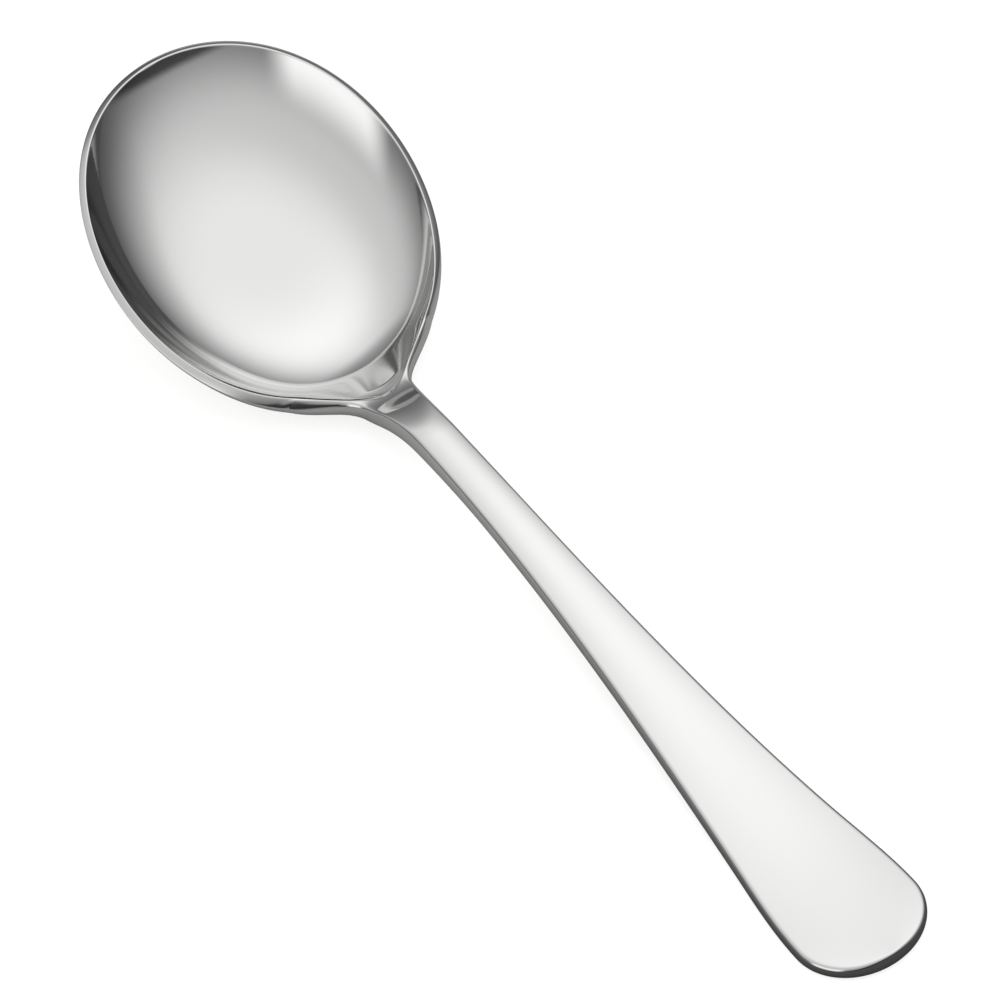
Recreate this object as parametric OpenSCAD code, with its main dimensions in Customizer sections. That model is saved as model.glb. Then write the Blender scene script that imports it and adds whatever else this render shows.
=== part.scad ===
// Soup spoon with a round bowl, a forged neck and a plain handle that widens to a rounded end.
// X runs along the spoon from the bowl's tip to the handle's end, Y across it, Z up.
// The spoon lies as on a table: its bowl and the end of its handle touch the plane Z = 0.
// The origin is on that plane, under the middle of the spoon's length.

/* [Overall] */
// Length from the bowl's tip to the handle's end
spoon_len = 175; // [160:1:190]
// Depth of the small flats where the spoon touches the table
rest_flat = 0.08; // [0.04:0.01:0.15]

/* [Bowl] */
// Length of the bowl's oval
bowl_len = 54.8; // [50:0.2:60]
// Width of the bowl across the outside of its rim
bowl_w = 49; // [44:0.2:54]
// Depth of the hollow below the rim
bowl_depth = 8.2; // [6.5:0.1:10]
// Steepness of the bowl's wall, where 1 is a plain dish
wall_steepness = 2; // [1.4:0.05:2.3]
// Thickness of the metal at the rim and the floor
rim_t = 1.2; // [0.9:0.05:1.8]
// Width of the flat land along the rim
rim_land = 1; // [0.85:0.05:1.6]
// Height of the rim at the tip above the rim at the neck
tip_rise = 17.4; // [10:0.2:20]
// Radius of the hollow's nose towards the neck
nose_r = 2.2; // [1.4:0.1:2.8]
// Distance from where the hollow narrows to its nose back from where the flanks reach the neck
nose_len = 7.9; // [7.2:0.1:8.4]

/* [Neck] */
// Width of the neck
neck_w = 6.8; // [6:0.1:8]
// Thickness of the neck
neck_t = 3.2; // [2.8:0.1:4.4]
// Distance from the end of the bowl's oval to where its flanks reach the neck
root_len = 2.9; // [2.6:0.1:4]
// Length of the flanks between the oval and the neck
flank_len = 6.9; // [6:0.1:8]
// Size of the round filling in the corners between the flanks and the neck
root_fill = 3.6; // [1:0.1:5]
// Distance from the lowest place of the rim to where the flanks reach the neck
dip_back = 0.6; // [0:0.1:2]
// Size of the round filling where the rim turns up into the neck
dip_fill = 2.3; // [0.5:0.1:3.5]
// Length of the arch from the lowest place of the rim up to the neck's high point
step_len = 12.2; // [10:0.1:15]
// Height of that arch
step_rise = 3.6; // [2:0.1:5]
// Length over which the metal thins from the high point to the stem
thinning_len = 15; // [12:0.2:24]

/* [Stem] */
// Thickness of the stem
stem_t = 2.3; // [1.9:0.05:2.8]
// Height of the rounded crown on top of the stem and the handle
crown_h = 0.6; // [0.2:0.05:0.9]

/* [Handle] */
// Greatest width of the handle
handle_w = 21; // [19:0.1:24]
// Thickness of the handle
handle_t = 2.2; // [1.8:0.05:2.6]
// Length of the rounded end past the widest place
end_len = 9; // [7:0.1:11]
// Distance from the widest place back to where the flare is measured
flare_len = 18; // [14:0.5:24]
// Width of the handle at that place
flare_w = 17.2; // [15:0.1:18.6]
// Distance from the widest place back to where the handle touches the table
rest_back = 6; // [3:0.5:9]
// Lift of the handle's very end above that place
end_rise = 0.3; // [0.1:0.05:1]
// Width of the rounding along every outer edge
edge_r = 0.7; // [0.4:0.05:0.8]

/* [Hidden] */
// Places along the spoon, as distances from the bowl's tip: where the flanks reach the neck, where
// they leave the oval, where the hollow does, the rim's lowest place, the high point and the stem
neck_x = bowl_len + root_len;
flank_x = neck_x - flank_len;
hollow_x = neck_x - nose_len;
dip_x = neck_x - dip_back;
crest_x = dip_x + step_len;
stem_x = crest_x + thinning_len;
// The handle's widest place, where its flare is measured and where it touches the table
wide_x = spoon_len - end_len;
flare_x = wide_x - flare_len;
rest_x = wide_x - rest_back;
// Distance from the tip to the origin
mid_x = spoon_len / 2;
// Half sizes of the bowl's oval, outside and inside the rim
oval_a = bowl_len / 2;
oval_b = bowl_w / 2;
hollow_a = oval_a - rim_land;
hollow_b = oval_b - rim_land;
// Where the named parts of the one forged blank meet, face to face
neck_cut = neck_x + neck_w / 4;
stem_cut = stem_x;
handle_cut = (stem_x + wide_x) / 2;
// Slopes of the outline in plan, as rises per length, and the flanks' first one as a share of the oval's
flank_start_slope_share = 0.68;
flank_end_slope_share = -0.4;
neck_slope_share = -0.019;
flare_slope_share = 0.132;
// Slopes of the top edge seen from the side: at the tip, at the rim's lowest place and up the neck
tip_slope_share = -0.16;
rim_slope_share = -0.19;
step_slope_share = 0.66;
// Power that steepens the hollow's wall at its nose
nose_power_share = 0.78;
// Where the metal begins to thicken towards the neck, and where it is thickest
thicken_x = oval_a * 1.4;
thickest_x = neck_x + neck_w / 2;
// Half width of the strip of points along the middle, as shares of the half width
core_shares = [0.1, 0.7];
// Places of a section's points, as shares: across the land, the hollow and the underside
land_shares = [0, 0.05, 0.16, 0.36, 0.66];
hollow_steps = 9;
under_steps = 11;
// Steps along the spoon in each stretch
tip_steps = 36;
flank_steps = 14;
root_steps = 7;
neck_steps = 20;
stem_steps = 12;
handle_steps = 16;
end_steps = 12;
// Smallest width that still has a section of its own
least_w = rim_t / 100;
// Overrun of the cuts that leave the flats
overrun = 5 * rim_t;

function mix(a, b, t) = a + (b - a) * t;
function ease(t) = let (u = max(0, min(1, t))) u * u * (3 - 2 * u);
function ramp(x, x0, x1) = ease((x - x0) / (x1 - x0));

// A cubic from (x0, y0) with slope m0 to (x1, y1) with slope m1, and its slope
function curve(x, x0, y0, m0, x1, y1, m1) =
    let (h = x1 - x0, u = (x - x0) / h)
    y0 + (y1 - y0) * ease(u) + h * u * (1 - u) * (m0 * (1 - u) - m1 * u);
function curve_slope(x, x0, y0, m0, x1, y1, m1) =
    let (h = x1 - x0, u = (x - x0) / h)
    6 * u * (1 - u) * (y1 - y0) / h + m0 * (1 - u) * (1 - 3 * u) - m1 * u * (2 - 3 * u);

// The greater of two values, with the corner where they cross filled, and its slope
function filled(a, b, fill) = max(a, b) + pow(max(0, fill - abs(a - b)), 2) / (4 * fill);
function filled_slope(a, b, slope_a, slope_b, fill) =
    let (part = max(0, fill - abs(a - b)) / (2 * fill))
    a > b ? mix(slope_a, slope_b, part) : mix(slope_b, slope_a, part);

// The oval's half width and slope where the flanks begin
flank_u = (flank_x - oval_a) / oval_a;
flank_w = oval_b * sqrt(1 - flank_u * flank_u);
flank_slope = -flank_start_slope_share * oval_b * flank_u / oval_a / sqrt(1 - flank_u * flank_u);

// Half width of the flanks and of the neck, each running on straight past the place where they meet
function flank(x) = x < neck_x
    ? curve(x, flank_x, flank_w, flank_slope, neck_x, neck_w / 2, flank_end_slope_share)
    : neck_w / 2 + flank_end_slope_share * (x - neck_x);
function flank_m(x) = x < neck_x
    ? curve_slope(x, flank_x, flank_w, flank_slope, neck_x, neck_w / 2, flank_end_slope_share)
    : flank_end_slope_share;
function shank(x) = x < neck_x
    ? neck_w / 2 + neck_slope_share * (x - neck_x)
    : curve(x, neck_x, neck_w / 2, neck_slope_share, flare_x, flare_w / 2, flare_slope_share);
function shank_m(x) = x < neck_x
    ? neck_slope_share
    : curve_slope(x, neck_x, neck_w / 2, neck_slope_share, flare_x, flare_w / 2, flare_slope_share);

// Half width of the outline at x
function half_w(x) =
    x < flank_x ? oval_b * sqrt(max(0, 1 - pow((x - oval_a) / oval_a, 2))) :
    x < flare_x ? filled(flank(x), shank(x), root_fill) :
    x < wide_x ? curve(x, flare_x, flare_w / 2, flare_slope_share, wide_x, handle_w / 2, 0) :
    handle_w / 2 * sqrt(max(0, 1 - pow((x - wide_x) / (spoon_len - wide_x), 2)));

// Half width times its slope, which stays finite at the rounded ends
function half_w_slope(x) =
    x < flank_x ? -oval_b * oval_b * (x - oval_a) / (oval_a * oval_a) :
    x < flare_x ? half_w(x) * filled_slope(flank(x), shank(x), flank_m(x), shank_m(x), root_fill) :
    x < wide_x ? half_w(x)
        * curve_slope(x, flare_x, flare_w / 2, flare_slope_share, wide_x, handle_w / 2, 0) :
    -pow(handle_w / 2 / (spoon_len - wide_x), 2) * (x - wide_x);

// The hollow's outline: an oval inside the rim, then a wedge that a round nose closes
nose_u = (hollow_x - oval_a) / hollow_a;
nose_start = hollow_b * sqrt(1 - nose_u * nose_u);
nose_slope = -hollow_b * nose_u / hollow_a / sqrt(1 - nose_u * nose_u);
wedge_start = sqrt(nose_start * nose_start + nose_r * nose_r);
wedge_slope = nose_slope * nose_start / wedge_start;
nose_x = hollow_x - (wedge_start - nose_r) / wedge_slope;

// Square of the hollow's half width at x, below zero past its ends
function hollow_sq(x) =
    x < hollow_x ? hollow_b * hollow_b * (1 - pow((x - oval_a) / hollow_a, 2)) :
    x < nose_x ? pow(wedge_start + wedge_slope * (x - hollow_x), 2) - nose_r * nose_r : -1;

// Half width of the strip along the middle: the hollow's edge, or a share of the outline
function core_w(x) =
    let (share = mix(core_shares[0], core_shares[1], ramp(x, neck_cut, stem_cut)))
    max(sqrt(max(0, hollow_sq(x))), share * half_w(x));

// Depth below the edge of a dish whose squared half width is sq, at y from the middle. A power below
// one steepens its wall where it is shallow.
function dish(sq, y, b, power) =
    let (q = pow(max(0, min(1, (sq - y * y) / (b * b))), power))
    bowl_depth * (1 - pow(1 - q, wall_steepness));

// That power at x, which falls towards the hollow's nose
function wall_power(x) = mix(1, nose_power_share, ramp(x, thicken_x, nose_x));

// Thickness of the metal at x
function metal_t(x) =
    x < thickest_x ? mix(rim_t, neck_t, ramp(x, thicken_x, thickest_x)) :
    x < stem_x ? mix(neck_t, stem_t, ramp(x, thickest_x, stem_x)) :
    mix(stem_t, handle_t, ramp(x, stem_x, rest_x));

// Depth of the underside below the metal's own thickness: the bowl, fading out along the neck
function belly(x, y) = dish(pow(half_w(x), 2), y, oval_b, 1) * (1 - ramp(x, flank_x, stem_x));

// Height of the rim above the dip, running on straight past it, and how far the underside reaches
function rim_rise(x) = x < dip_x
    ? curve(x, 0, tip_rise, tip_slope_share, dip_x, 0, rim_slope_share)
    : rim_slope_share * (x - dip_x);
bowl_reach = max([for (i = [0:tip_steps * 4])
    let (x = dip_x * i / (tip_steps * 4)) metal_t(x) + belly(x, 0) - rim_rise(x)]);
dip_h = bowl_reach - rest_flat;
crest_h = dip_h + step_rise;
rest_h = handle_t - rest_flat;

// Height of the arch that climbs from the dip, running on straight before it
function arch(x) = x < dip_x
    ? dip_h + step_slope_share * (x - dip_x)
    : curve(x, dip_x, dip_h, step_slope_share, crest_x, crest_h, 0);

// Height of the top edge at x: rim, dip, high point, resting place and lifted end
function edge_h(x) =
    x < crest_x ? filled(dip_h + rim_rise(x), arch(x), dip_fill) :
    x < rest_x ? mix(crest_h, rest_h, ramp(x, crest_x, rest_x)) :
    rest_h + end_rise * pow((x - rest_x) / (spoon_len - rest_x), 2);

// How far the rounded edge has risen at a point, from 0 on the outline to 1 on the flat
function edge_lift(x, y) =
    let (w = half_w(x),
         away = max(0, w * w - y * y) / (2 * norm([half_w_slope(x), y]) + least_w),
         u = min(1, away / min(edge_r, w)))
    sqrt(u * (2 - u));

function crown(x, y) =
    crown_h * ramp(x, dip_x, crest_x) * (1 - pow(y / half_w(x), 2));

function top_z(x, y) =
    edge_h(x) - metal_t(x) / 2 * (1 - edge_lift(x, y)) + crown(x, y) * edge_lift(x, y)
    - dish(hollow_sq(x), y, hollow_b, wall_power(x));
function under_z(x, y) =
    edge_h(x) - metal_t(x) / 2 * (1 + edge_lift(x, y)) - belly(x, y);

// One closed section at x: over the top from one side to the other, and back underneath
function section(x) =
    let (w = half_w(x), c = core_w(x),
         land = [for (s = land_shares) mix(w, c, s)],
         inside = [for (i = [-hollow_steps:hollow_steps]) c * sin(90 * i / hollow_steps)],
         top = concat([for (y = land) -y], inside, [for (i = [len(land) - 1:-1:0]) land[i]]),
         under = [for (i = [under_steps - 1:-1:1 - under_steps]) w * sin(90 * i / under_steps)])
    concat(
        [for (y = top) [x - mid_x, y, top_z(x, y)]],
        [for (y = under) [x - mid_x, y, under_z(x, y)]]);

// Places along the spoon: even steps, or steps that crowd towards one end or both
function even(x0, x1, n) = [for (i = [0:n]) mix(x0, x1, i / n)];
function crowd_start(x0, x1, n) = [for (i = [0:n]) mix(x0, x1, 1 - cos(90 * i / n))];
function crowd_end(x0, x1, n) = [for (i = [0:n]) mix(x0, x1, sin(90 * i / n))];
function after_first(list) = [for (i = [1:len(list) - 1]) list[i]];
function before_last(list) = [for (i = [0:len(list) - 2]) list[i]];

// A closed skin over the sections at places xs, with flat or pointed ends
module skin(xs, start_point = false, end_point = false) {
    rings = [for (x = xs) section(x)];
    n = len(rings[0]);
    m = len(rings);
    body = [for (ring = rings) each ring];
    tip = [-mid_x, 0, edge_h(0) - metal_t(0) / 2];
    end = [spoon_len - mid_x, 0, edge_h(spoon_len) - metal_t(spoon_len) / 2];
    points = concat(body, [tip, end]);
    sides = [for (r = [0:m - 2], i = [0:n - 1])
        let (a = r * n + i, b = r * n + (i + 1) % n)
        each [[a, b, a + n], [b, b + n, a + n]]];
    start_cap = start_point
        ? [for (i = [0:n - 1]) [(i + 1) % n, i, m * n]]
        : [[for (i = [n - 1:-1:0]) i]];
    end_cap = end_point
        ? [for (i = [0:n - 1]) [(m - 1) * n + i, (m - 1) * n + (i + 1) % n, m * n + 1]]
        : [[for (i = [0:n - 1]) (m - 1) * n + i]];
    polyhedron(start_point || end_point ? points : body, concat(sides, start_cap, end_cap));
}

// Everything below the table
module below_table() {
    translate([-mid_x - overrun, -bowl_w, -overrun])
        cube([spoon_len + 2 * overrun, 2 * bowl_w, overrun]);
}

module bowl() {
    places = concat(
        before_last(after_first(crowd_start(0, flank_x, tip_steps))),
        before_last(crowd_end(flank_x, nose_x, flank_steps)),
        even(nose_x, neck_cut, root_steps));
    color([0.82, 0.83, 0.84])
    difference() {
        skin(places, start_point = true);
        below_table();
    }
}

module neck() {
    color([0.76, 0.77, 0.79])
    skin(even(neck_cut, stem_cut, neck_steps));
}

module stem() {
    color([0.80, 0.81, 0.83])
    skin(even(stem_cut, handle_cut, stem_steps));
}

module handle_end() {
    places = concat(
        before_last(even(handle_cut, wide_x, handle_steps)),
        before_last(crowd_end(wide_x, spoon_len, end_steps)));
    color([0.84, 0.85, 0.86])
    difference() {
        skin(places, end_point = true);
        below_table();
    }
}

bowl();
neck();
stem();
handle_end();
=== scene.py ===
"""A soup spoon of polished steel on a pale table, in soft studio light."""

import math

import bpy
import numpy as np
from bpy.props import FloatProperty, FloatVectorProperty, IntProperty, PointerProperty
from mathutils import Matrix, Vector


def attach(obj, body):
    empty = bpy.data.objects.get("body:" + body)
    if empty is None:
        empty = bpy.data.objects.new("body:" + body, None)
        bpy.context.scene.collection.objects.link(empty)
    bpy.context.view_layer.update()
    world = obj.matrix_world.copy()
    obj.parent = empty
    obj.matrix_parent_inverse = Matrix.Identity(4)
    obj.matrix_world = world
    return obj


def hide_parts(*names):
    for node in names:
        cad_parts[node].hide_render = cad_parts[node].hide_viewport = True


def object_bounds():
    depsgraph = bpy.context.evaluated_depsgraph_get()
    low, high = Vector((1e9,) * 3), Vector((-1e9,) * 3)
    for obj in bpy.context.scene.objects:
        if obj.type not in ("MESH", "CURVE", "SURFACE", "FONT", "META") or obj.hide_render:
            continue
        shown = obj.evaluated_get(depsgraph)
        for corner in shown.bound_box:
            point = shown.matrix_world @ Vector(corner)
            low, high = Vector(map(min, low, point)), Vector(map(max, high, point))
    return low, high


bl_info = {
    "name": "Soup Spoon",
    "version": (1, 0, 0),
    "blender": (4, 5, 0),
    "location": "3D View > Sidebar > Spoon",
    "description": "Makes a polished soup spoon and the table and light around it",
    "category": "Object",
}

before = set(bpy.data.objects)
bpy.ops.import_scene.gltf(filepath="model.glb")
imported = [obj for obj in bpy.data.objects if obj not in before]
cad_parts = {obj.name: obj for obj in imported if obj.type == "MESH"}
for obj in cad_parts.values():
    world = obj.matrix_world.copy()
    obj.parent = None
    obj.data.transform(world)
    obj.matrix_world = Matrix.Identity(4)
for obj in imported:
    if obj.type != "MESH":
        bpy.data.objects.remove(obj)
CAD_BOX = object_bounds()

MM = 0.001
BODY = "root"

# A ring this close to a cut counts as being on it, and one this close to the spoon's end is the last.
CUT_SLACK = MM / 100
END_REACH = MM
# A face with more corners than this closes a cut end, and is flat.
WALL_CORNERS = 4

# Polishing lines to a metre, across and along their run, and the turn of the scratches in radians.
BOWL_POLISH = {"across": 3600.0, "along": 500.0, "turn": 0.9}
HANDLE_POLISH = {"across": 5200.0, "along": 60.0, "turn": 0.5}
LINES = {"detail": 2.0, "softness": 0.5, "depth": 0.02 * MM}
SMUDGES = {"scale": 55.0, "detail": 3.0, "softness": 0.55, "clean": 0.42, "dull": 0.68}
SCRATCHES = {"scale": 260.0, "squeeze": (0.05, 1.0, 1.0), "core": 0.004, "border": 0.012}
SCRATCH_PATCHES = {"scale": 90.0, "detail": 1.0, "bare": 0.52, "used": 0.62}

TABLE_ROUGHNESS = 0.9
MOTTLE = {"scale": 9.0, "detail": 3.0, "low": 0.3, "high": 0.7, "darkest": 0.985}
# Painted shade in the steel's mirror image of the table: what glossy rays keep of the table's colour,
# from start to end along the spoon.
TABLE_SHADE_PAINTED_IN_STEEL = {"start": -0.06, "end": 0.1, "bowl_end": 0.85, "handle_end": 0.12}
# The even light that the room throws on the table, and how much of its colour the camera adds to that.
ROOM_LIGHT_ON_TABLE = 0.4
TABLE_GLOW = 0.86

# The room's light by direction, with angles in degrees from the zenith and from +X.
OVERHEAD = {"polar": 24.3, "azimuth": 116.9, "base": 0.667, "gain": 0.508, "power": 13.8}
HORIZON = {"low": -0.08, "high": 0.82, "dark": 0.16}
SIDE_BOX = {
    "polar": 77.05, "azimuth": 293.5, "gain": 0.985,
    "half_width": 0.367, "left_soft": 0.13, "right_soft": 0.111,
    "half_height": 0.213, "height_soft": 0.304,
}
# Dark cards, which start and are full at these cosines of the angle from their middle.
TIP_CARD = {"polar": 130.0, "azimuth": 3.0, "start": 0.495, "end": 0.56, "amount": 0.78}
NECK_CARD = {"polar": 70.0, "azimuth": 172.0, "start": 0.87, "end": 0.985, "amount": 0.42}
WALL_CARD = {"polar": 76.0, "azimuth": 78.5, "start": 0.83, "end": 0.97, "amount": 0.12}
ROOM_CARDS = (TIP_CARD, NECK_CARD, WALL_CARD)
# Dark things in the room that only a second or later mirror image shows, given in the same way.
SECOND_IMAGE_TIP = {"polar": 97.4, "azimuth": 8.3, "start": -0.21, "end": 0.168, "amount": 0.88}
SECOND_IMAGE_FRONT = {"polar": 48.0, "azimuth": 220.0, "start": 0.868, "end": 0.886, "amount": 0.45}
SECOND_IMAGE_NECK = {"polar": 36.0, "azimuth": 190.0, "start": 0.972, "end": 0.988, "amount": 0.72}
SECOND_IMAGE_CARDS = (SECOND_IMAGE_TIP, SECOND_IMAGE_FRONT, SECOND_IMAGE_NECK)
# A ray that reaches the room deeper than this has met the steel at least twice.
ONE_MIRROR_DEPTH = 2.5

NEAR_CLIP_SHARE = 0.01
FAR_CLIP_SHARE = 10


def length(name, text, value_mm, low_mm, high_mm):
    """A property for a length that is given here in millimetres."""
    return FloatProperty(
        name=name,
        description=text,
        default=value_mm * MM,
        min=low_mm * MM,
        max=high_mm * MM,
        precision=4,
        subtype="DISTANCE",
        unit="LENGTH",
    )


def share(name, text, value, low=0.0, high=1.0):
    """A property for a plain number without a unit."""
    return FloatProperty(name=name, description=text, default=value, min=low, max=high)


def colour(name, text, value):
    """A property for a colour."""
    return FloatVectorProperty(
        name=name, description=text, subtype="COLOR", size=3, min=0, max=1, default=value)


def angle(name, text, value_deg):
    """A property for an angle that is given here in degrees."""
    return FloatProperty(
        name=name, description=text, subtype="ANGLE", unit="ROTATION", default=math.radians(value_deg))


class SpoonSizes(bpy.types.PropertyGroup):
    """Sizes of the forged blank, the same form as the construction model with a finer rim."""

    rest_flat: length("Rest flats", "Depth of the flats that touch the table", 0.08, 0, 0.2)
    bowl_len: length("Bowl length", "Length of the bowl's oval", 54.8, 50, 60)
    bowl_w: length("Bowl width", "Width of the bowl across its rim", 49, 44, 54)
    bowl_depth: length("Bowl depth", "Depth of the hollow below the rim", 8.2, 6.5, 10)
    wall_steepness: share(
        "Wall steepness", "Steepness of the bowl's wall, 1 is a plain dish", 2, 1.4, 2.3)
    rim_t: length("Rim thickness", "Thickness of the metal at the rim", 1.2, 0.9, 1.8)
    rim_round: share(
        "Rim roundness", "Form of the rim's outer edge, 1 is a plain bevel and 2 is round", 1.1, 1, 2)
    rim_bevel: length("Rim bevel", "Width of the bevel along the rim's outer edge", 0.88, 0.4, 1)
    rim_land: length("Rim land", "Width of the flat land along the rim", 1, 0.85, 1.6)
    rim_soft: length("Rim softness", "Half width of the polished inner edge of the rim", 0.07, 0.02, 0.5)
    tip_rise: length("Tip rise", "Height of the rim at the tip above the rim at the neck", 17.4, 10, 20)
    nose_r: length("Nose radius", "Radius of the hollow's nose towards the neck", 2.2, 1.4, 2.8)
    nose_len: length(
        "Nose length", "From where the hollow narrows to where the flanks reach the neck", 7.9, 7.2, 8.4)
    neck_w: length("Neck width", "Width of the neck", 6.8, 6, 8)
    neck_t: length("Neck thickness", "Thickness of the neck", 3.2, 2.8, 4.4)
    root_len: length(
        "Root length", "From the end of the oval to where the flanks reach the neck", 2.9, 2.6, 4)
    flank_len: length("Flank length", "Length of the flanks between the oval and the neck", 6.9, 6, 8)
    root_fill: length(
        "Root filling", "Filling in the corners between the flanks and the neck", 3.6, 1, 5)
    dip_back: length("Dip", "From the rim's lowest place to where the flanks reach the neck", 0.6, 0, 2)
    dip_fill: length("Dip filling", "Filling where the rim turns up into the neck", 2.3, 0.5, 3.5)
    step_len: length("Arch length", "Length of the arch up to the neck's high point", 12.2, 10, 15)
    step_rise: length("Arch height", "Height of the arch up to the neck's high point", 3.6, 2, 5)
    thinning_len: length("Thinning", "Length over which the neck thins to the stem", 15, 12, 24)
    stem_t: length("Stem thickness", "Thickness of the stem", 2.3, 1.9, 2.8)
    crown_h: length("Crown", "Height of the rounded crown on the stem and handle", 0.6, 0.2, 0.9)
    handle_w: length("Handle width", "Greatest width of the handle", 21, 19, 24)
    handle_t: length("Handle thickness", "Thickness of the handle", 2.2, 1.8, 2.6)
    end_len: length("End length", "Length of the rounded end past the widest place", 9, 7, 11)
    flare_len: length("Flare length", "From the widest place back to the flare", 18, 14, 24)
    flare_w: length("Flare width", "Width of the handle at the flare", 17.2, 15, 18.6)
    rest_back: length(
        "Rest", "From the widest place back to where the handle touches the table", 6, 3, 9)
    end_rise: length("End rise", "Lift of the handle's very end", 0.3, 0.1, 1)
    edge_r: length("Edge rounding", "Width of the rounding along the other outer edges", 0.7, 0.4, 0.8)
    fineness: IntProperty(
        name="Fineness", description="How finely the surface is divided", default=10, min=2, max=20)


class SpoonFinish(bpy.types.PropertyGroup):
    """Colour and polish of the steel."""

    steel: colour("Steel", "Colour of the polished steel", (0.80, 0.80, 0.795))
    polish: share("Polish", "Roughness of the cleanest steel", 0.05)
    smudge: share("Smudges", "Roughness that handling adds in soft patches", 0.03)
    line_depth: share("Line depth", "Strength of the fine polishing lines", 0.035)
    scratch_depth: share("Scratch depth", "Strength of the fine scratches of use", 0.05)
    edge_wear: share("Edge wear", "Roughness that wear adds along edges", 0.08)


class SpoonStudio(bpy.types.PropertyGroup):
    """Camera and table."""

    aim: FloatVectorProperty(
        name="Aim",
        description="Place that the camera looks at",
        subtype="TRANSLATION",
        unit="LENGTH",
        size=3,
        default=(-3.709 * MM, -0.190 * MM, 10 * MM),
    )
    azimuth: angle("Azimuth", "Direction of the camera from the spoon, turned from +X to +Y", -37.11)
    elevation: angle("Elevation", "Height of the camera above the table, as an angle", 54.97)
    view_width: length("View width", "Width that the picture shows at the spoon", 140.65, 50, 500)
    lens: FloatProperty(
        name="Lens", description="Focal length of the long lens, in millimetres", default=1200, min=50)
    table_size: length("Table size", "Length of the table's side", 6000, 1000, 9000)
    table: colour("Table", "Colour of the table", (0.86, 0.86, 0.855))


def ease(t):
    u = np.clip(t, 0.0, 1.0)
    return u * u * (3 - 2 * u)


def ramp(x, x0, x1):
    return ease((x - x0) / (x1 - x0))


def mix(a, b, t):
    return a + (b - a) * t


def curve(x, x0, y0, m0, x1, y1, m1):
    """A cubic from (x0, y0) with slope m0 to (x1, y1) with slope m1."""
    h = x1 - x0
    u = (x - x0) / h
    return y0 + (y1 - y0) * ease(u) + h * u * (1 - u) * (m0 * (1 - u) - m1 * u)


def curve_slope(x, x0, y0, m0, x1, y1, m1):
    h = x1 - x0
    u = (x - x0) / h
    return 6 * u * (1 - u) * (y1 - y0) / h + m0 * (1 - u) * (1 - 3 * u) - m1 * u * (2 - 3 * u)


def filled(a, b, fill):
    """The greater of two values, with the corner where they cross filled."""
    return np.maximum(a, b) + np.maximum(0, fill - np.abs(a - b)) ** 2 / (4 * fill)


def filled_slope(a, b, slope_a, slope_b, fill):
    part = max(0, fill - abs(a - b)) / (2 * fill)
    return mix(slope_a, slope_b, part) if a > b else mix(slope_b, slope_a, part)


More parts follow.
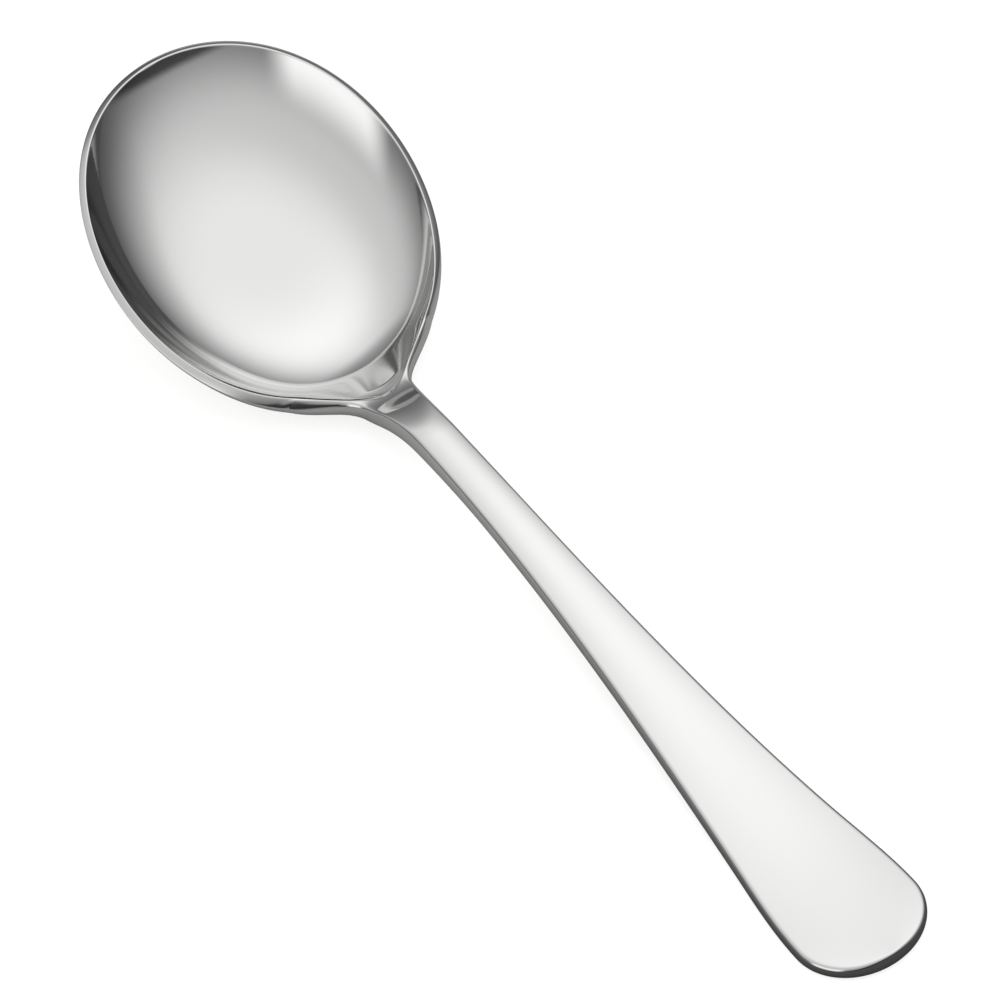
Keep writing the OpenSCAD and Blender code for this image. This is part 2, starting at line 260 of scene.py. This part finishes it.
class Blank:
    """The form of the forged blank. Places along it are distances from the bowl's tip, in metres."""

    FLANK_START_SLOPE_SHARE = 0.68
    FLANK_END_SLOPE_SHARE = -0.4
    NECK_SLOPE_SHARE = -0.019
    FLARE_SLOPE_SHARE = 0.132
    TIP_SLOPE_SHARE = -0.16
    RIM_SLOPE_SHARE = -0.19
    STEP_SLOPE_SHARE = 0.66
    NOSE_POWER_SHARE = 0.78
    THICKEN_SHARE = 1.4
    LEAST_WIDTH_SHARE = 0.01
    # Share of the half width that the middle points on top span, before the neck and from the stem on.
    CORE_SHARES = (0.1, 0.7)
    # Places from the outline, 0, to those middle points, 1, closer together along the edge.
    LAND_SHARES = (0, 0.012, 0.045, 0.1, 0.17, 0.26, 0.36, 0.47, 0.58, 0.68, 0.77, 0.85, 0.92, 0.965)
    ROUND_POWER = 2
    BELLY_PLACES = 145
    # Divisions for each step of fineness: across the top or the underside, and along each stretch.
    ACROSS = 6
    ALONG = {"bowl": 14, "flanks": 7, "neck": 8, "stem": 5, "handle": 6, "end": 5}

    def __init__(self, s):
        self.s = s
        self.spoon_len = CAD_BOX[1].x - CAD_BOX[0].x
        self.neck_x = s.bowl_len + s.root_len
        self.flank_x = self.neck_x - s.flank_len
        self.hollow_x = self.neck_x - s.nose_len
        self.dip_x = self.neck_x - s.dip_back
        self.crest_x = self.dip_x + s.step_len
        self.stem_x = self.crest_x + s.thinning_len
        self.wide_x = self.spoon_len - s.end_len
        self.flare_x = self.wide_x - s.flare_len
        self.rest_x = self.wide_x - s.rest_back
        self.neck_cut = self.neck_x + s.neck_w / 4
        self.stem_cut = self.stem_x
        self.handle_cut = (self.stem_x + self.wide_x) / 2
        self.oval_a = s.bowl_len / 2
        self.oval_b = s.bowl_w / 2
        self.hollow_a = self.oval_a - s.rim_land
        self.hollow_b = self.oval_b - s.rim_land
        self.thicken_x = self.oval_a * self.THICKEN_SHARE
        self.thickest_x = self.neck_x + s.neck_w / 2
        self.least_w = s.rim_t * self.LEAST_WIDTH_SHARE
        self._set_flanks()
        self._set_nose()
        self._set_heights()

    def _set_flanks(self):
        u = (self.flank_x - self.oval_a) / self.oval_a
        root = math.sqrt(1 - u * u)
        start = self.oval_b * root
        slope = -self.FLANK_START_SLOPE_SHARE * self.oval_b * u / self.oval_a / root
        neck = self.s.neck_w / 2
        flare = self.s.flare_w / 2
        wide = self.s.handle_w / 2
        flare_slope = self.FLARE_SLOPE_SHARE
        self.flank = (self.flank_x, start, slope, self.neck_x, neck, self.FLANK_END_SLOPE_SHARE)
        self.shank = (self.neck_x, neck, self.NECK_SLOPE_SHARE, self.flare_x, flare, flare_slope)
        self.flare = (self.flare_x, flare, flare_slope, self.wide_x, wide, 0)

    def _set_nose(self):
        u = (self.hollow_x - self.oval_a) / self.hollow_a
        root = math.sqrt(1 - u * u)
        start = self.hollow_b * root
        slope = -self.hollow_b * u / self.hollow_a / root
        self.wedge_start = math.hypot(start, self.s.nose_r)
        self.wedge_slope = slope * start / self.wedge_start
        self.nose_x = self.hollow_x - (self.wedge_start - self.s.nose_r) / self.wedge_slope

    def _set_heights(self):
        places = np.linspace(0, self.dip_x, self.BELLY_PLACES)
        reach = [self.metal(x) + self.belly(x, np.zeros(1))[0] - self.rim_rise(x) for x in places]
        self.dip_h = max(reach) - self.s.rest_flat
        self.crest_h = self.dip_h + self.s.step_rise
        self.rest_h = self.s.handle_t - self.s.rest_flat

    def sides(self, x):
        """Half width and slope of the flanks and of the neck, each running on past where they meet."""
        half = self.s.neck_w / 2
        past = x - self.neck_x
        if past < 0:
            flank = curve(x, *self.flank), curve_slope(x, *self.flank)
            return *flank, half + self.NECK_SLOPE_SHARE * past, self.NECK_SLOPE_SHARE
        shank = curve(x, *self.shank), curve_slope(x, *self.shank)
        return half + self.FLANK_END_SLOPE_SHARE * past, self.FLANK_END_SLOPE_SHARE, *shank

    def half_width(self, x):
        """Half the width of the outline at x."""
        if x < self.flank_x:
            return self.oval_b * math.sqrt(max(0, 1 - ((x - self.oval_a) / self.oval_a) ** 2))
        if x < self.flare_x:
            flank, _, shank, _ = self.sides(x)
            return filled(flank, shank, self.s.root_fill)
        if x < self.wide_x:
            return curve(x, *self.flare)
        end = (x - self.wide_x) / self.s.end_len
        return self.s.handle_w / 2 * math.sqrt(max(0, 1 - end * end))

    def half_width_slope(self, x):
        """The half width times its slope, which stays finite at the rounded ends."""
        if x < self.flank_x:
            return -((self.oval_b / self.oval_a) ** 2) * (x - self.oval_a)
        if x < self.flare_x:
            flank, flank_slope, shank, shank_slope = self.sides(x)
            slope = filled_slope(flank, shank, flank_slope, shank_slope, self.s.root_fill)
            return self.half_width(x) * slope
        if x < self.wide_x:
            return curve(x, *self.flare) * curve_slope(x, *self.flare)
        return -((self.s.handle_w / 2 / self.s.end_len) ** 2) * (x - self.wide_x)

    def hollow_square(self, x):
        """Square of the hollow's half width, which turns negative past its ends."""
        if x < self.hollow_x:
            return self.hollow_b**2 * (1 - ((x - self.oval_a) / self.hollow_a) ** 2)
        wedge = self.wedge_start + self.wedge_slope * (x - self.hollow_x)
        return wedge * abs(wedge) - self.s.nose_r**2

    def dish(self, square, y, b, power=1.0, soft=0.0):
        """Depth of a dish below its edge, which is rounded over a soft half width.

        A power below one steepens the wall where the dish is shallow.
        """
        q = (square - y * y) / (b * b)
        if soft:
            band = 2 * soft / b
            q = np.where(q > band, q, np.where(q < -band, 0, (q + band) ** 2 / (4 * band)))
        q = np.clip(q, 0, 1) ** power
        return self.s.bowl_depth * (1 - (1 - q) ** self.s.wall_steepness)

    def metal(self, x):
        """Thickness of the metal at x."""
        s = self.s
        if x < self.thickest_x:
            return mix(s.rim_t, s.neck_t, ramp(x, self.thicken_x, self.thickest_x))
        if x < self.stem_x:
            return mix(s.neck_t, s.stem_t, ramp(x, self.thickest_x, self.stem_x))
        return mix(s.stem_t, s.handle_t, ramp(x, self.stem_x, self.rest_x))

    def belly(self, x, y):
        """How far the underside bulges below the edge, on the bowl and fading along the neck."""
        fade = 1 - ramp(x, self.flank_x, self.stem_x)
        return self.dish(self.half_width(x) ** 2, y, self.oval_b) * fade

    def rim_rise(self, x):
        """Height of the rim above the dip, running on straight past it."""
        slope = self.RIM_SLOPE_SHARE
        if x < self.dip_x:
            return curve(x, 0, self.s.tip_rise, self.TIP_SLOPE_SHARE, self.dip_x, 0, slope)
        return slope * (x - self.dip_x)

    def arch(self, x):
        """Height of the arch that climbs from the dip, running on straight before it."""
        slope = self.STEP_SLOPE_SHARE
        if x < self.dip_x:
            return self.dip_h + slope * (x - self.dip_x)
        return curve(x, self.dip_x, self.dip_h, slope, self.crest_x, self.crest_h, 0)

    def edge_height(self, x):
        """Height of the top edge at x: rim, dip, high point, resting place and lifted end."""
        if x < self.crest_x:
            return filled(self.dip_h + self.rim_rise(x), self.arch(x), self.s.dip_fill)
        if x < self.rest_x:
            return mix(self.crest_h, self.rest_h, ramp(x, self.crest_x, self.rest_x))
        return self.rest_h + self.s.end_rise * ((x - self.rest_x) / (self.spoon_len - self.rest_x)) ** 2

    def edge_lift(self, x, y, rim_share=0.0):
        """How far the edge has risen, from 0 on the outline to 1 on the flat.

        The edge is round at a rim share of 0, and at 1 it is the rim's bevel.
        """
        power = mix(self.ROUND_POWER, self.s.rim_round, rim_share)
        reach = mix(self.s.edge_r, self.s.rim_bevel, rim_share)
        w = self.half_width(x)
        steepness = 2 * np.hypot(self.half_width_slope(x), y) + self.least_w
        away = np.maximum(0, w * w - y * y) / steepness
        u = np.minimum(1, away / min(reach, w))
        return (1 - (1 - u) ** power) ** (1 / power)

    def top(self, x, y):
        """Height of the upper surface."""
        lift = self.edge_lift(x, y, 1 - ramp(x, self.flank_x, self.neck_x))
        crown_h = self.s.crown_h * ramp(x, self.dip_x, self.crest_x)
        crown = crown_h * (1 - (y / self.half_width(x)) ** 2)
        power = mix(1, self.NOSE_POWER_SHARE, ramp(x, self.thicken_x, self.nose_x))
        hollow = self.dish(self.hollow_square(x), y, self.hollow_b, power, self.s.rim_soft)
        return self.edge_height(x) - self.metal(x) / 2 * (1 - lift) + crown * lift - hollow

    def under(self, x, y):
        """Height of the underside, cut flat at the table."""
        z = self.edge_height(x) - self.metal(x) / 2 * (1 + self.edge_lift(x, y)) - self.belly(x, y)
        return np.maximum(z, 0)

    def section(self, x):
        """One closed ring of points at x, over the top and back below, and its edge values."""
        w = self.half_width(x)
        core_share = mix(*self.CORE_SHARES, ramp(x, self.neck_cut, self.stem_cut))
        core = max(math.sqrt(max(0, self.hollow_square(x))), core_share * w)
        land = np.array([mix(w, core, t) for t in self.LAND_SHARES])
        spread = np.sin(np.linspace(-math.pi / 2, math.pi / 2, self.ACROSS * self.s.fineness + 1))
        top_y = np.concatenate([-land, core * spread, land[::-1]])
        under_y = -w * spread[1:-1]
        y = np.concatenate([top_y, under_y])
        z = np.concatenate([self.top(x, top_y), self.under(x, under_y)])
        edge = 1 - self.edge_lift(x, y)
        return np.column_stack([np.full_like(y, x - self.spoon_len / 2), y, z]), edge

    def places(self):
        """Places of the rings along the whole spoon, closer together towards its two ends."""

        def steps(stretch, end=1.0):
            return np.linspace(0, end, self.ALONG[stretch] * self.s.fineness + 1)

        quarter = math.pi / 2
        parts = [
            self.flank_x * (1 - np.cos(steps("bowl", quarter)))[1:-1],
            mix(self.flank_x, self.neck_cut, steps("flanks")),
            mix(self.neck_cut, self.stem_cut, steps("neck"))[1:],
            mix(self.stem_cut, self.handle_cut, steps("stem"))[1:],
            mix(self.handle_cut, self.wide_x, steps("handle"))[1:],
            mix(self.wide_x, self.spoon_len, np.sin(steps("end", quarter)))[1:-1],
        ]
        return np.concatenate(parts)

    def surface(self):
        """Every ring of the spoon with its edge values and the surface's own normals."""
        places = self.places()
        rings = [self.section(x) for x in places]
        points = np.array([ring for ring, _ in rings])
        edges = np.array([edge for _, edge in rings])
        along = np.gradient(points, axis=0)
        across = np.roll(points, -1, axis=1) - np.roll(points, 1, axis=1)
        normals = np.cross(along, across)
        normals /= np.linalg.norm(normals, axis=2, keepdims=True)
        return places, points, edges, normals


def ring_walls(rows, cols):
    """The faces between each ring of points and the next."""
    faces = []
    for row in range(rows - 1):
        for i in range(cols):
            a, b = row * cols + i, row * cols + (i + 1) % cols
            faces.append((a, a + cols, b + cols, b))
    return faces


def piece_form(blank, low_x, high_x):
    """Points, normals, edge values and faces of the closed blank between two places along it."""
    places, points, edges, normals = blank.surface()
    inside = (places >= low_x - CUT_SLACK) & (places <= high_x + CUT_SLACK)
    rows, cols = points[inside].shape[:2]
    verts = points[inside].reshape(-1, 3).tolist()
    vert_normals = normals[inside].reshape(-1, 3).tolist()
    edge_values = edges[inside].ravel().tolist()
    faces = ring_walls(rows, cols)
    for row, sign in ((0, -1), (rows - 1, 1)):
        ring = [row * cols + i for i in range(cols)]
        end_x = sign * blank.spoon_len / 2
        if abs(verts[ring[0]][0] - end_x) < END_REACH:
            end_place = end_x + blank.spoon_len / 2
            middle = blank.edge_height(end_place) - blank.metal(end_place) / 2
            verts.append((end_x, 0, middle))
            vert_normals.append((sign, 0, 0))
            edge_values.append(1.0)
            last = len(verts) - 1
            fan = [(ring[i], last, ring[(i + 1) % cols]) for i in range(cols)]
            faces += fan if sign > 0 else [face[::-1] for face in fan]
        else:
            faces.append(tuple(ring) if sign < 0 else tuple(ring[::-1]))
    return verts, vert_normals, edge_values, faces


def steel_piece(name, node, blank, low_x, high_x, material):
    """A piece of the blank that stands for one CAD node, smooth all round and flat where it is cut."""
    verts, vert_normals, edge_values, faces = piece_form(blank, low_x, high_x)
    mesh = bpy.data.meshes.new(name)
    mesh.from_pydata(verts, [], faces)
    loop_normals = []
    for polygon in mesh.polygons:
        polygon.use_smooth = polygon.loop_total <= WALL_CORNERS
        if polygon.use_smooth:
            loop_normals += [vert_normals[v] for v in polygon.vertices]
        else:
            loop_normals += [tuple(polygon.normal)] * polygon.loop_total
    mesh.normals_split_custom_set(loop_normals)
    mesh.attributes.new("edge", "FLOAT", "POINT").data.foreach_set("value", edge_values)
    mesh.materials.append(material)
    piece = bpy.data.objects.new(name, mesh)
    bpy.context.scene.collection.objects.link(piece)
    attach(piece, BODY)
    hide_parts(node)
    return piece


def add_node(tree, kind, values=None, **settings):
    """A new node with settings, whose inputs take numbers or links from other sockets."""
    node = tree.nodes.new(kind)
    for key, value in settings.items():
        setattr(node, key, value)
    for key, value in (values or {}).items():
        if isinstance(value, bpy.types.NodeSocket):
            tree.links.new(value, node.inputs[key])
        else:
            node.inputs[key].default_value = value
    return node


def maths(tree, operation, a, b=0.0):
    return add_node(tree, "ShaderNodeMath", {0: a, 1: b}, operation=operation).outputs[0]


def total(tree, *values):
    """All the values added up."""
    result = values[0]
    for value in values[1:]:
        result = maths(tree, "ADD", result, value)
    return result


def product(tree, *values):
    """All the values multiplied."""
    result = values[0]
    for value in values[1:]:
        result = maths(tree, "MULTIPLY", result, value)
    return result


def one_minus(tree, value):
    return maths(tree, "SUBTRACT", 1.0, value)


def dot(tree, a, b):
    return add_node(tree, "ShaderNodeVectorMath", {0: a, 1: b}, operation="DOT_PRODUCT").outputs["Value"]


def smooth(tree, value, start, end, low=0.0, high=1.0):
    """Low before start, high after end, and a smooth step between."""
    values = {"Value": value, "From Min": start, "From Max": end, "To Min": low, "To Max": high}
    step = add_node(tree, "ShaderNodeMapRange", values, interpolation_type="SMOOTHSTEP")
    return step.outputs["Result"]


def noise(tree, place, scale, detail, softness=0.5):
    """Soft noise from 0 to 1 around a half."""
    values = {"Vector": place, "Scale": scale, "Detail": detail, "Roughness": softness}
    return add_node(tree, "ShaderNodeTexNoise", values).outputs["Fac"]


def new_group(name, inputs, outputs):
    """An empty shader node group, the sockets that it is given and the sockets that it fills."""
    group = bpy.data.node_groups.new(name, "ShaderNodeTree")
    for in_out, sockets in (("INPUT", inputs), ("OUTPUT", outputs)):
        for socket, kind in sockets.items():
            group.interface.new_socket(socket, in_out=in_out, socket_type=kind)
    return group, group.nodes.new("NodeGroupInput").outputs, group.nodes.new("NodeGroupOutput").inputs


def smudge_group():
    """Soft patches where handling and washing leave the polish a little duller."""
    name = "soft_smudges"
    if name in bpy.data.node_groups:
        return bpy.data.node_groups[name]
    inputs = {"Place": "NodeSocketVector", "Scale": "NodeSocketFloat", "Amount": "NodeSocketFloat"}
    group, given, made = new_group(name, inputs, {"Roughness": "NodeSocketFloat"})
    wide = noise(group, given["Place"], given["Scale"], SMUDGES["detail"], SMUDGES["softness"])
    patch = smooth(group, wide, SMUDGES["clean"], SMUDGES["dull"])
    group.links.new(product(group, patch, given["Amount"]), made["Roughness"])
    return group


def line_group():
    """Fine lines that the polishing wheel leaves along its run."""
    name = "polishing_lines"
    if name in bpy.data.node_groups:
        return bpy.data.node_groups[name]
    inputs = {"Place": "NodeSocketVector", "Across": "NodeSocketFloat", "Along": "NodeSocketFloat"}
    group, given, made = new_group(name, inputs, {"Height": "NodeSocketFloat"})
    parts = add_node(group, "ShaderNodeSeparateXYZ", {"Vector": given["Place"]}).outputs
    counts = {"X": given["Along"], "Y": given["Across"], "Z": given["Across"]}
    stretched = {axis: product(group, parts[axis], count) for axis, count in counts.items()}
    place = add_node(group, "ShaderNodeCombineXYZ", stretched).outputs["Vector"]
    lines = noise(group, place, 1.0, LINES["detail"], LINES["softness"])
    group.links.new(lines, made["Height"])
    return group


def scratch_group():
    """Sparse hairline scratches in many directions, as use leaves them."""
    name = "use_scratches"
    if name in bpy.data.node_groups:
        return bpy.data.node_groups[name]
    inputs = {"Place": "NodeSocketVector", "Turn": "NodeSocketFloat", "Scale": "NodeSocketFloat"}
    group, given, made = new_group(name, inputs, {"Mask": "NodeSocketFloat"})
    turned = add_node(
        group, "ShaderNodeVectorRotate",
        {"Vector": given["Place"], "Axis": (0, 0, 1), "Angle": given["Turn"]},
    )
    squeezed = add_node(
        group, "ShaderNodeVectorMath",
        {0: turned.outputs["Vector"], 1: SCRATCHES["squeeze"]}, operation="MULTIPLY",
    )
    cells = add_node(
        group, "ShaderNodeTexVoronoi",
        {"Vector": squeezed.outputs["Vector"], "Scale": given["Scale"], "Randomness": 1.0},
        feature="DISTANCE_TO_EDGE",
    )
    patches = noise(group, given["Place"], SCRATCH_PATCHES["scale"], SCRATCH_PATCHES["detail"])
    hair = smooth(group, cells.outputs["Distance"], SCRATCHES["core"], SCRATCHES["border"], 1.0, 0.0)
    some = smooth(group, patches, SCRATCH_PATCHES["bare"], SCRATCH_PATCHES["used"])
    group.links.new(product(group, hair, some), made["Mask"])
    return group


def use_group(tree, group, values):
    return add_node(tree, "ShaderNodeGroup", values, node_tree=group).outputs


def steel_material(name, polish):
    """Polished stainless steel with polishing lines, soft smudges, scratches and worn edges."""
    if name in bpy.data.materials:
        return bpy.data.materials[name]
    look = bpy.context.scene.spoon_finish
    material = bpy.data.materials.new(name)
    material.use_nodes = True
    tree = material.node_tree
    place = add_node(tree, "ShaderNodeTexCoord").outputs["Object"]
    smudges = use_group(
        tree, smudge_group(), {"Place": place, "Scale": SMUDGES["scale"], "Amount": look.smudge})
    lines = use_group(
        tree, line_group(), {"Place": place, "Across": polish["across"], "Along": polish["along"]})
    scratches = use_group(
        tree, scratch_group(), {"Place": place, "Turn": polish["turn"], "Scale": SCRATCHES["scale"]})
    edge = add_node(tree, "ShaderNodeAttribute", attribute_name="edge").outputs["Fac"]
    worn = product(tree, edge, look.edge_wear)
    scratched = product(tree, scratches["Mask"], look.scratch_depth)
    rough = total(tree, smudges["Roughness"], look.polish, worn, scratched)
    grain = add_node(
        tree, "ShaderNodeBump",
        {"Height": lines["Height"], "Strength": look.line_depth, "Distance": LINES["depth"]},
    )
    shader = tree.nodes["Principled BSDF"]
    shader.inputs["Metallic"].default_value = 1.0
    shader.inputs["Base Color"].default_value = (*look.steel, 1)
    tree.links.new(rough, shader.inputs["Roughness"])
    tree.links.new(grain.outputs["Normal"], shader.inputs["Normal"])
    return material


def table_material(paint_colour):
    """Matt pale paint with a faint mottle.

    The steel's mirror image of it carries painted shade: glossy rays see it pale by the bowl and dark by
    the handle's end.
    """
    material = bpy.data.materials.new("table_paint")
    material.use_nodes = True
    tree = material.node_tree
    place = add_node(tree, "ShaderNodeTexCoord").outputs["Object"]
    mottle = noise(tree, place, MOTTLE["scale"], MOTTLE["detail"])
    seen = smooth(tree, mottle, MOTTLE["low"], MOTTLE["high"], MOTTLE["darkest"], 1.0)
    rays = add_node(tree, "ShaderNodeLightPath").outputs
    # Painted shade: for glossy rays only, the table's colour darkens along X from the bowl to the
    # handle's end.
    card = TABLE_SHADE_PAINTED_IN_STEEL
    along = add_node(tree, "ShaderNodeSeparateXYZ", {"Vector": place}).outputs["X"]
    mirrored = smooth(tree, along, card["start"], card["end"], card["bowl_end"], card["handle_end"])
    painted_mirror_shade = smooth(tree, rays["Is Glossy Ray"], 0.0, 1.0, 1.0, mirrored)
    shade = product(tree, seen, painted_mirror_shade)
    paint = add_node(tree, "ShaderNodeVectorMath", {0: paint_colour, "Scale": shade}, operation="SCALE")
    shader = tree.nodes["Principled BSDF"]
    shader.inputs["Roughness"].default_value = TABLE_ROUGHNESS
    tree.links.new(paint.outputs["Vector"], shader.inputs["Base Color"])
    tree.links.new(paint.outputs["Vector"], shader.inputs["Emission Color"])
    tree.links.new(product(tree, rays["Is Camera Ray"], TABLE_GLOW), shader.inputs["Emission Strength"])
    return material


def direction(place):
    """Unit vector towards a place in the room, which has its polar angle and azimuth in degrees."""
    p, a = math.radians(place["polar"]), math.radians(place["azimuth"])
    return Vector((math.sin(p) * math.cos(a), math.sin(p) * math.sin(a), math.cos(p)))


def overhead_light(tree, way):
    """A large soft light above, over an even base."""
    facing = dot(tree, way, direction(OVERHEAD))
    half = total(tree, product(tree, facing, 0.5), 0.5)
    lobe = product(tree, maths(tree, "POWER", half, OVERHEAD["power"]), OVERHEAD["gain"])
    return total(tree, lobe, OVERHEAD["base"])


def side_box_light(tree, way):
    """A box of light at the side, with soft edges."""
    box = SIDE_BOX
    middle = direction(box)
    side = Vector((0, 0, 1)).cross(middle).normalized()
    u = dot(tree, way, side)
    v = maths(tree, "ABSOLUTE", dot(tree, way, middle.cross(side)))
    half_w, half_h, tall_soft = box["half_width"], box["half_height"], box["height_soft"]
    left = smooth(tree, u, -half_w - box["left_soft"], -half_w + box["left_soft"])
    right = smooth(tree, u, half_w - box["right_soft"], half_w + box["right_soft"], 1.0, 0.0)
    tall = smooth(tree, v, half_h - tall_soft, half_h + tall_soft, 1.0, 0.0)
    ahead = maths(tree, "GREATER_THAN", dot(tree, way, middle), 0.0)
    return product(tree, left, right, tall, ahead, box["gain"])


def card_shade(tree, way, card):
    """What a dark card leaves of the light: 1 away from it, less towards its middle."""
    facing = dot(tree, way, direction(card))
    return smooth(tree, facing, card["start"], card["end"], 1.0, 1.0 - card["amount"])


def studio_world():
    """Soft light all round, which depends on direction in the steel and is even on the table.

    It comes from above and from a side box, and dark cards and a dark horizon take some of it away.
    """
    world = bpy.data.worlds.new("studio")
    bpy.context.scene.world = world
    world.use_nodes = True
    tree = world.node_tree
    rays = add_node(tree, "ShaderNodeLightPath").outputs
    way = add_node(tree, "ShaderNodeTexCoord").outputs["Generated"]
    height = add_node(tree, "ShaderNodeSeparateXYZ", {"Vector": way}).outputs["Z"]
    low = smooth(tree, height, HORIZON["low"], HORIZON["high"], HORIZON["dark"], 1.0)
    cards = [card_shade(tree, way, card) for card in ROOM_CARDS]
    soft_light = product(tree, overhead_light(tree, way), low, *cards)
    light = total(tree, soft_light, side_box_light(tree, way))
    kept_twice = product(tree, *[card_shade(tree, way, card) for card in SECOND_IMAGE_CARDS])
    again = maths(tree, "GREATER_THAN", rays["Ray Depth"], ONE_MIRROR_DEPTH)
    lost = product(tree, again, one_minus(tree, kept_twice))
    mirrored = product(tree, light, one_minus(tree, lost))
    on_table = rays["Is Diffuse Ray"]
    room = product(tree, on_table, ROOM_LIGHT_ON_TABLE)
    strength = total(tree, product(tree, mirrored, one_minus(tree, on_table)), room)
    background = tree.nodes["Background"]
    background.inputs["Color"].default_value = (1, 1, 1, 1)
    tree.links.new(strength, background.inputs["Strength"])


def studio_camera():
    """A long lens at the photograph's viewing angle."""
    look = bpy.context.scene.spoon_studio
    a, e = look.azimuth, look.elevation
    back = Vector((math.cos(a) * math.cos(e), math.sin(a) * math.cos(e), math.sin(e)))
    data = bpy.data.cameras.new("camera")
    data.lens = look.lens
    distance = look.view_width * look.lens / data.sensor_width
    data.clip_start = distance * NEAR_CLIP_SHARE
    data.clip_end = distance * FAR_CLIP_SHARE
    camera = bpy.data.objects.new("camera", data)
    camera.location = Vector(look.aim) + back * distance
    camera.rotation_mode = "QUATERNION"
    camera.rotation_quaternion = (-back).to_track_quat("-Z", "Y")
    bpy.context.scene.collection.objects.link(camera)
    bpy.context.scene.camera = camera


def studio_table():
    """A square table top at the height on which the spoon lies."""
    look = bpy.context.scene.spoon_studio
    half = look.table_size / 2
    mesh = bpy.data.meshes.new("table")
    corners = [(-half, -half, 0), (half, -half, 0), (half, half, 0), (-half, half, 0)]
    mesh.from_pydata(corners, [], [(0, 1, 2, 3)])
    mesh.materials.append(table_material(look.table))
    table = bpy.data.objects.new("table", mesh)
    bpy.context.scene.collection.objects.link(table)


class SPOON_OT_bowl(bpy.types.Operator):
    """Make the round bowl with its rim and hollow"""

    bl_idname = "spoon.bowl"
    bl_label = "Bowl"

    def execute(self, context):
        blank = Blank(context.scene.spoon_sizes)
        steel = steel_material("steel_bowl", BOWL_POLISH)
        steel_piece("spoon_bowl", "bowl", blank, 0, blank.neck_cut, steel)
        return {"FINISHED"}


class SPOON_OT_neck(bpy.types.Operator):
    """Make the forged neck"""

    bl_idname = "spoon.neck"
    bl_label = "Neck"

    def execute(self, context):
        blank = Blank(context.scene.spoon_sizes)
        steel = steel_material("steel_handle", HANDLE_POLISH)
        steel_piece("spoon_neck", "neck", blank, blank.neck_cut, blank.stem_cut, steel)
        return {"FINISHED"}


class SPOON_OT_stem(bpy.types.Operator):
    """Make the narrow stem"""

    bl_idname = "spoon.stem"
    bl_label = "Stem"

    def execute(self, context):
        blank = Blank(context.scene.spoon_sizes)
        steel = steel_material("steel_handle", HANDLE_POLISH)
        steel_piece("spoon_stem", "stem", blank, blank.stem_cut, blank.handle_cut, steel)
        return {"FINISHED"}


class SPOON_OT_handle_end(bpy.types.Operator):
    """Make the wide rounded end of the handle"""

    bl_idname = "spoon.handle_end"
    bl_label = "Handle end"

    def execute(self, context):
        blank = Blank(context.scene.spoon_sizes)
        steel = steel_material("steel_handle", HANDLE_POLISH)
        steel_piece("spoon_handle_end", "handle_end", blank, blank.handle_cut, blank.spoon_len, steel)
        return {"FINISHED"}


class SPOON_OT_stage(bpy.types.Operator):
    """Set the table, the soft studio light and the camera"""

    bl_idname = "spoon.stage"
    bl_label = "Stage"

    def execute(self, context):
        studio_table()
        studio_world()
        studio_camera()
        context.scene.view_settings.view_transform = "Standard"
        return {"FINISHED"}


class SPOON_PT_panel(bpy.types.Panel):
    """Lists the sizes, the finish and the steps that make the spoon"""

    bl_label = "Soup Spoon"
    bl_idname = "SPOON_PT_panel"
    bl_space_type = "VIEW_3D"
    bl_region_type = "UI"
    bl_category = "Spoon"

    def draw(self, context):
        layout = self.layout
        for group in (context.scene.spoon_sizes, context.scene.spoon_finish, context.scene.spoon_studio):
            box = layout.box()
            for name in group.__annotations__:
                box.prop(group, name)
        for operator in OPERATORS:
            layout.operator(operator.bl_idname)


OPERATORS = (SPOON_OT_bowl, SPOON_OT_neck, SPOON_OT_stem, SPOON_OT_handle_end, SPOON_OT_stage)
GROUPS = {"spoon_sizes": SpoonSizes, "spoon_finish": SpoonFinish, "spoon_studio": SpoonStudio}


def register():
    for cls in (*GROUPS.values(), *OPERATORS, SPOON_PT_panel):
        bpy.utils.register_class(cls)
    for name, cls in GROUPS.items():
        setattr(bpy.types.Scene, name, PointerProperty(type=cls))


def unregister():
    for name in GROUPS:
        delattr(bpy.types.Scene, name)
    for cls in reversed((*GROUPS.values(), *OPERATORS, SPOON_PT_panel)):
        bpy.utils.unregister_class(cls)


def main():
    register()
    bpy.ops.spoon.bowl()
    bpy.ops.spoon.neck()
    bpy.ops.spoon.stem()
    bpy.ops.spoon.handle_end()
    bpy.ops.spoon.stage()


if __name__ == "__main__":
    main()
